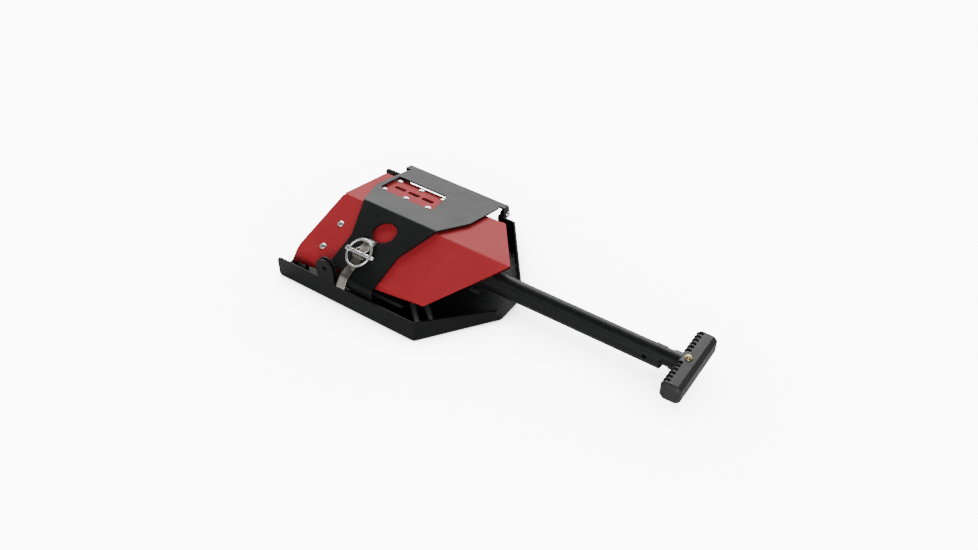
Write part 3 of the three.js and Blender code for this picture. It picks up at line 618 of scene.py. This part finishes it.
SHAFT_Z = (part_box("outer_tube")[0].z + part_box("outer_tube")[1].z) / 2
BUTTON_HOLE_X = middle_x("snap_button")
SHAFT_TRAVEL = next(joint["range_m"][1] for joint in frame["joints"] if joint["name"] == "shaft_slide")
SOCKET_SCREWS = [name for name in NODES if name.startswith("socket_screw_")]


def ring_profile(bore, radius, length):
    return [(bore, 0), (radius, 0), (radius, length), (bore, length)]


def shaft_hole(x, axis, radius):
    """A cutter from the shaft's axis out through the tubes' wall."""
    return plug(Vector((x, 0, SHAFT_Z)), axis, radius, TUBE_REACH)


def make_tubes():
    far_hole = shaft_hole(BUTTON_HOLE_X + SHAFT_TRAVEL, -Y_AXIS, BUTTON_HOLE)
    under_holes = [shaft_hole(middle_x(name), -Z_AXIS, SCREW_HOLE) for name in SOCKET_SCREWS]
    outer = ring_profile(OUTER_BORE, OUTER, length_along("outer_tube", X_AXIS))
    turn("outer_tube", X_AXIS, outer, segments=96, ease=0.5, cutters=[far_hole, *under_holes])
    button_hole = shaft_hole(BUTTON_HOLE_X, -Y_AXIS, BUTTON_HOLE)
    top_hole = shaft_hole(axis_start("handle_screw", Z_AXIS).x, Z_AXIS, SCREW_HOLE)
    inner = ring_profile(INNER_BORE, INNER, length_along("inner_tube", X_AXIS))
    turn("inner_tube", X_AXIS, inner, segments=96, ease=0.4, cutters=[button_hole, top_hole])
    for bush in ("guide_bush", "slide_bush"):
        profile = ring_profile(INNER + GAP, OUTER_BORE - GAP, length_along(bush, X_AXIS))
        turn(bush, X_AXIS, profile, segments=96, ease=0.4)
    cap = length_along("outer_tube_plug", X_AXIS)
    radius = OUTER_BORE - GAP
    turn("outer_tube_plug", X_AXIS, [
        (0, 1.2), (radius - 2, 1.2), (radius - 1.2, 0), (radius, 0), (radius, cap), (0, cap),
    ], segments=96, ease=0.5)


def make_button():
    turn("snap_button", -Y_AXIS, [
        (0, 0), (4.2, 0), (4.2, 1.4), (3, 1.4), (3, 6.6), (2.2, 7.3), (0, 7.5),
    ], segments=40, ease=0.2)


def make_socket_screws():
    """Low button-head screws, turned upside down under the stiffener, with a hexagon socket each."""
    for node in SOCKET_SCREWS:
        total = length_along(node, Z_AXIS)
        socket = plug(axis_start(node, Z_AXIS) - Z_AXIS * MM, Z_AXIS, 1.9, 2.6, HEXAGON)
        turn(node, Z_AXIS, [
            (0, 0), (2.8, 0.1), (4, 1.2), (4.4, 2.4), (4.4, 3), (2.5, 3), (2.5, total), (0, total),
        ], segments=40, ease=0.25, cutters=[socket])


make_tubes()
make_button()
make_socket_screws()
refine("button_spring", 0.15 * MM)


# ---------------------------------------------------------------- T-handle

HANDLE_WIDTH = 31 * MM
HANDLE_CHAMFER = 5.8 * MM
HANDLE_END_CHAMFER = 4 * MM
HANDLE_EDGE = 0.8 * MM
NOTCH_COUNT = 6
NOTCH_PITCH = 7.6 * MM
NOTCH_START = 13 * MM
NOTCH_HALF = 2.3 * MM
NOTCH_DEPTH = 11.2 * MM
NOTCH_CORNER = 1.5 * MM
NECK_RADIUS = 14.6  # millimetres
OVERLAP = 5  # millimetres, by which a neck or cutter passes the face it meets
RECESS_ANGLES = (math.radians(20), math.radians(110))
RECESS_DEPTH = 1.1 * MM


def box_mesh(low, high):
    """A box along the axes, from its two far corners."""
    bm = bmesh.new()
    bmesh.ops.create_cube(bm, size=1)
    for vertex in bm.verts:
        vertex.co = Vector([a if side < 0 else b for side, a, b in zip(vertex.co, low, high)])
    return bm


def make_handle():
    """The moulded grip: a chamfered bar on a short neck, with soft edges and a comb of grip notches."""
    low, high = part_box("t_handle")
    back = high.x - HANDLE_WIDTH
    bar = box_mesh((back, low.y, low.z), high)
    round_edges(bar, lambda edge: along(edge, Y_AXIS), HANDLE_CHAMFER, 1)
    round_edges(bar, lambda edge: turns(edge, 80), HANDLE_END_CHAMFER, 1)
    round_edges(bar, lambda edge: turns(edge, 20), HANDLE_EDGE, 3)
    neck_end = (back - low.x) / MM + OVERLAP
    neck_profile = eased(scaled([(0, 0), (NECK_RADIUS, 0), (NECK_RADIUS, neck_end), (0, neck_end)]), 1 * MM)
    neck = spin(neck_profile, Vector((low.x, 0, SHAFT_Z)), X_AXIS, 64)
    body = combine(mesh_of(bar, "bar"), mesh_of(neck, "neck"), "UNION")
    bore_start = Vector((low.x - OVERLAP * MM, 0, SHAFT_Z))
    bore_length = (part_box("inner_tube")[1].x + GAP * MM - low.x) / MM + OVERLAP
    bore = plug(bore_start, X_AXIS, INNER + GAP, bore_length, 64)
    screw_hole = plug(axis_start("handle_screw", Z_AXIS) - Z_AXIS * 12 * MM, Z_AXIS, SCREW_HOLE, 30)
    for cutter in (bore, screw_hole, *notch_cutters(back, low.z, high.z)):
        body = combine(body, cutter, "DIFFERENCE")
    dress(body, "t_handle")


def notch_cutters(back, bottom, top):
    """Upright slots from the bar's back, with round inner corners, the same on both sides of the neck."""
    floor = back + NOTCH_DEPTH
    cutters = []
    for half in (-1, 1):
        for i in range(NOTCH_COUNT):
            y = half * (NOTCH_START + NOTCH_PITCH * i)
            low = (back - OVERLAP * MM, y - NOTCH_HALF, bottom - MM)
            notch = box_mesh(low, (floor, y + NOTCH_HALF, top + MM))
            round_edges(
                notch, lambda edge: along(edge, Z_AXIS) and near(middle(edge).x, floor), NOTCH_CORNER, 4)
            cutters.append(mesh_of(notch, "notch"))
    return cutters


def make_handle_screw():
    """A brass pan-head screw with a cross recess, sitting in a cup washer."""
    turn("handle_washer", Z_AXIS, [
        (3.1, 0), (5.6, 0), (5.5, 0.5), (5.0, 1.0), (4.4, 1.4), (3.8, 1.4), (3.1, 0.9),
    ], segments=64, ease=0.15)
    total = length_along("handle_screw", Z_AXIS)
    recess = axis_start("handle_screw", Z_AXIS) + Z_AXIS * (total * MM - RECESS_DEPTH)
    arms = [Matrix.Rotation(angle, 3, "Z") @ X_AXIS for angle in RECESS_ANGLES]
    cutters = [slot_cutter(recess, arm, 2.1 * MM, 0.42 * MM, 3 * MM) for arm in arms]
    turn("handle_screw", Z_AXIS, [
        (0, 0), (2.5, 0), (2.5, 6), (3.4, 6), (3.4, 6.3), (2.9, 6.8), (1.6, 7.05), (0, total),
    ], segments=48, ease=0.15, cutters=cutters)


def slot_cutter(centre, arm, half_length, half_width, height):
    """A box whose base is centred at a point, long along one arm."""
    side = Z_AXIS.cross(arm)
    bm = bmesh.new()
    corners = []
    for rise in (0, height):
        for a, b in ((-1, -1), (1, -1), (1, 1), (-1, 1)):
            offset = arm * (a * half_length) + side * (b * half_width) + Z_AXIS * rise
            corners.append(bm.verts.new(centre + offset))
    for quad in ((0, 1, 2, 3), (4, 5, 6, 7), (0, 1, 5, 4), (1, 2, 6, 5), (2, 3, 7, 6), (3, 0, 4, 7)):
        bm.faces.new([corners[i] for i in quad])
    return mesh_of(bm, "cutter")


make_handle()
make_handle_screw()


# ---------------------------------------------------------------- hinge and latch

LATCH_DOWN = (Vector(JOINT_AT["claw_hinge"]) - Vector(JOINT_AT["lever_hinge"])).normalized()
LATCH_OUT = X_AXIS.cross(-LATCH_DOWN).normalized()
BOLT_HEAD = 3.7  # millimetres, as all of the bolts' and the pin's sizes
BOLT_SOCKET = 2.2
PIN_RADIUS = 3
PIN_NECK = 3.4
PIN_HEAD_RADIUS = 5.2
PIN_HEAD_HALF = 3.5
PIN_LEAD_IN = 3.6
GROOVE_RADIUS = 2.45
GROOVE_TO_TIP = 10
RING_HOLE = 2.4
RING_WIRE = 1.75 * MM
RING_STEPS = 96
WIRE_STEPS = 16


def make_hinge_bolts():
    """Button-head bolts with a hexagon socket, heads outward."""
    for side, axis in (("right", X_AXIS), ("left", -X_AXIS)):
        node = f"hinge_bolt_{side}"
        total = length_along(node, axis)
        head = total - BOLT_HEAD
        socket_floor = axis_start(node, axis) + axis * (total - BOLT_SOCKET) * MM
        turn(node, axis, [
            (0, 0), (2.9, 0), (2.9, head), (5.4, head), (5.4, head + 1.5), (4.6, head + 2.9),
            (3.2, total), (0, total),
        ], segments=56, ease=0.3, cutters=[plug(socket_floor, axis, 2.1, 5, HEXAGON)])
        refine(f"hinge_nut_{side}", 0.35 * MM)


def make_axles():
    """Each axle is a plain pin with eased ends."""
    for node in ("lever_axle", "claw_axle"):
        total = length_along(node, X_AXIS)
        turn(node, X_AXIS, [
            (0, 0), (1.3, 0.1), (1.6, 0.5), (1.6, total - 0.5), (1.3, total - 0.1), (0, total),
        ], segments=32, ease=0.1)


def make_latch_rivets():
    """Domed rivets with a set tail, through the latch's base and the cover's front leg."""
    for node in ("latch_rivet_1", "latch_rivet_2"):
        total = length_along(node, LATCH_OUT)
        head = total - 1.3
        turn(node, LATCH_OUT, [
            (0, 0), (2.6, 0), (2.8, 1.1), (1.6, 1.1), (1.6, head), (3.2, head), (2.9, total - 0.6),
            (1.8, total - 0.12), (0, total),
        ], segments=32, ease=0.15)


def make_lock_pin():
    """Lynch pin: a shank with a lead-in and a detent groove, joined to a cross-drilled round head."""
    head = Vector(JOINT_AT["ring_hinge"])
    across = Vector(JOINT_AXIS["ring_hinge"]).normalized()
    end = (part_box("lock_pin")[1].x - head.x) / MM
    groove = end - GROOVE_TO_TIP
    shank_profile = [
        (0, PIN_NECK), (PIN_RADIUS, PIN_NECK), (PIN_RADIUS, groove), (GROOVE_RADIUS, groove + 0.8),
        (GROOVE_RADIUS, groove + 1.6), (PIN_RADIUS, groove + 2.4), (PIN_RADIUS, end - PIN_LEAD_IN),
        (1.6, end), (0, end)]
    knob_profile = [
        (0, -PIN_HEAD_HALF), (PIN_HEAD_RADIUS, -PIN_HEAD_HALF), (PIN_HEAD_RADIUS, PIN_HEAD_HALF),
        (0, PIN_HEAD_HALF)]
    shank = spin(eased(scaled(shank_profile), 0.5 * MM), head, X_AXIS, 48)
    knob = spin(eased(scaled(knob_profile), 1.1 * MM, 4), head, across, 64)
    joined = combine(mesh_of(shank, "shank"), mesh_of(knob, "knob"), "UNION")
    drill = plug(head - across * 8 * MM, across, RING_HOLE, 16, 40)
    dress(combine(joined, drill, "DIFFERENCE"), "lock_pin")


def make_lock_ring():
    """The pin's snap ring: a round spring wire bent to a circle."""
    points = np.array([vertex.co for vertex in NODES["lock_ring"].data.vertices])
    centre = Vector(points.mean(axis=0))
    normal = Vector(np.linalg.svd(points - points.mean(axis=0))[2][2])
    reach = Vector(JOINT_AT["ring_hinge"]) - centre
    radius = reach.length
    first = reach.normalized()
    second = normal.cross(first)
    turned = [2 * math.pi * k / WIRE_STEPS for k in range(WIRE_STEPS)]
    bm = bmesh.new()
    loops = []
    for i in range(RING_STEPS):
        angle = 2 * math.pi * i / RING_STEPS
        spoke = first * math.cos(angle) + second * math.sin(angle)
        loops.append([
            bm.verts.new(
                centre + spoke * (radius + RING_WIRE * math.cos(t)) + normal * RING_WIRE * math.sin(t))
            for t in turned])
    for i in range(RING_STEPS):
        here, there = loops[i], loops[(i + 1) % RING_STEPS]
        for k in range(WIRE_STEPS):
            j = (k + 1) % WIRE_STEPS
            bm.faces.new((here[k], here[j], there[j], there[k]))
    dress(mesh_of(bm, "lock_ring"), "lock_ring")


make_hinge_bolts()
make_axles()
make_latch_rivets()
refine("latch_base", 0.25 * MM)
refine("latch_lever", 0.28 * MM)
refine("latch_claw", 0.3 * MM)
make_lock_pin()
make_lock_ring()
